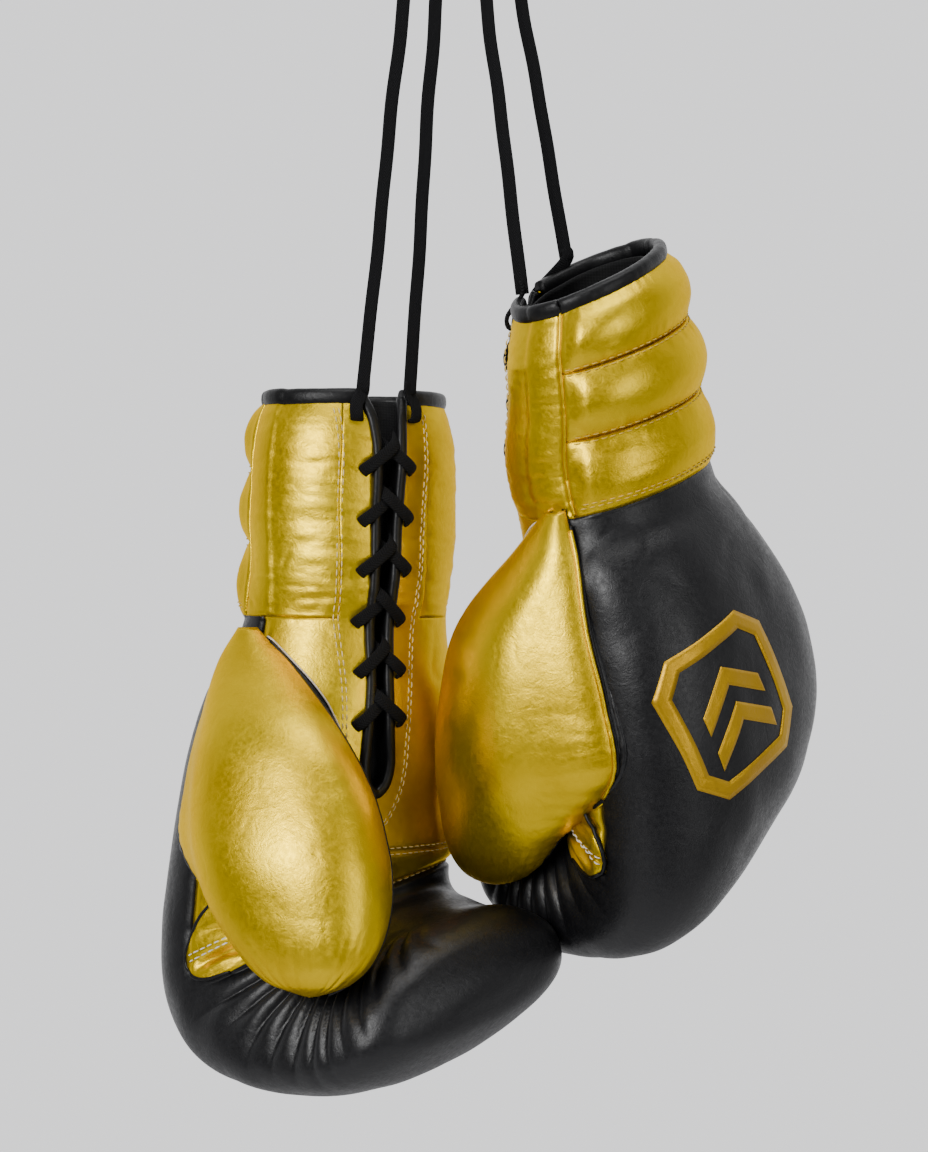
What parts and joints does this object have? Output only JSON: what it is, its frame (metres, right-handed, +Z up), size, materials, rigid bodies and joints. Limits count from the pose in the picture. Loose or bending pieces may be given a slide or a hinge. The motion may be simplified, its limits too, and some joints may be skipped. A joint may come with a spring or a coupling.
{
  "type": "boxing gloves",
  "caption": "Lace-up padded boxing gloves in gold and black leather, hanging from their knotted laces.",
  "frame": {"origin": "where the hanging loop of the laces rests on its hook", "axes": "+Z up, the gloves hang down along -Z; +X from the right-hand glove to the left-hand glove; -Y towards the side from which the lacing of the right-hand glove and the back of the left-hand glove are seen"},
  "size_m": [0.3395, 0.242, 0.7373],
  "materials": {
    "gold_leather": "satin metallic foil leather",
    "black_leather": "satin smooth leather",
    "black_binding": "soft satin folded leather",
    "padding_foam": "matte foam",
    "lining_cloth": "matte woven lining",
    "lace_braid": "matte flat braid",
    "lace_tip": "smooth plastic"
  },
  "bodies": {
    "hang": {"hang_knot": "lace_braid", "hang_loop": "lace_braid", "lace_tails": "lace_braid", "lace_tips": "lace_tip"},
    "right_laces": {"right_strand_thumb_side": "lace_braid", "right_strand_pinky_side": "lace_braid"},
    "right_glove": {"right_back_leather": "black_leather", "right_roll_leather": "black_leather", "right_palm_leather": "gold_leather", "right_palm_padding": "padding_foam", "right_back_foam": "padding_foam", "right_fist_foam": "padding_foam", "right_hand_lining": "lining_cloth", "right_grip_bar": "padding_foam", "right_wrist_roll_top": "gold_leather", "right_wrist_roll_middle": "gold_leather", "right_wrist_roll_bottom": "gold_leather", "right_cuff_thumb_panel": "gold_leather", "right_cuff_pinky_panel": "gold_leather", "right_lace_facings": "gold_leather", "right_cuff_padding": "padding_foam", "right_cuff_lining": "lining_cloth", "right_rim_binding": "black_binding", "right_slot_binding": "black_binding", "right_lacing": "lace_braid", "right_thumb_gusset": "black_leather"},
    "right_thumb": {"right_thumb_strap": "gold_leather", "right_thumb_leather": "gold_leather", "right_thumb_inner_leather": "black_leather", "right_thumb_foam": "padding_foam", "right_thumb_lining": "lining_cloth"},
    "left_laces": {"left_strand_thumb_side": "lace_braid", "left_strand_pinky_side": "lace_braid"},
    "left_glove": {"left_back_leather": "black_leather", "left_roll_leather": "black_leather", "left_palm_leather": "gold_leather", "left_palm_padding": "padding_foam", "left_back_foam": "padding_foam", "left_fist_foam": "padding_foam", "left_hand_lining": "lining_cloth", "left_grip_bar": "padding_foam", "left_wrist_roll_top": "gold_leather", "left_wrist_roll_middle": "gold_leather", "left_wrist_roll_bottom": "gold_leather", "left_cuff_thumb_panel": "gold_leather", "left_cuff_pinky_panel": "gold_leather", "left_lace_facings": "gold_leather", "left_cuff_padding": "padding_foam", "left_cuff_lining": "lining_cloth", "left_rim_binding": "black_binding", "left_slot_binding": "black_binding", "left_lacing": "lace_braid", "left_thumb_gusset": "black_leather"},
    "left_thumb": {"left_thumb_strap": "gold_leather", "left_thumb_leather": "gold_leather", "left_thumb_inner_leather": "black_leather", "left_thumb_foam": "padding_foam", "left_thumb_lining": "lining_cloth"}
  },
  "joints": [
    {"name": "right_laces_swing", "type": "hinge", "parent": "hang", "child": "right_laces", "pos_m": [0, 0, -0.045], "axis": [0, 1, 0], "range_deg": [0, 25]},
    {"name": "right_glove_rock", "type": "hinge", "parent": "right_laces", "child": "right_glove", "pos_m": [-0.0308, -0.03435, -0.4005], "axis": [0.8697, 0.4887, -0.0693], "range_deg": [0, 12]},
    {"name": "right_thumb_flex", "type": "hinge", "parent": "right_glove", "child": "right_thumb", "pos_m": [-0.12564, -0.05379, -0.57914], "axis": [0, -0.1392, -0.9903], "range_deg": [0, 3.5], "stiffness_Nm_per_rad": 0.6},
    {"name": "left_laces_swing", "type": "hinge", "parent": "hang", "child": "left_laces", "pos_m": [0, 0, -0.045], "axis": [0, -1, 0], "range_deg": [0, 25]},
    {"name": "left_glove_rock", "type": "hinge", "parent": "left_laces", "child": "left_glove", "pos_m": [0.0415, -0.0349, -0.3364], "axis": [-0.4851, -0.8547, -0.1848], "range_deg": [0, 12]},
    {"name": "left_thumb_flex", "type": "hinge", "parent": "left_glove", "child": "left_thumb", "pos_m": [0.07509, -0.1072, -0.52324], "axis": [-0.1553, -0.1219, 0.9803], "range_deg": [0, 3.5], "stiffness_Nm_per_rad": 0.6}
  ]
}
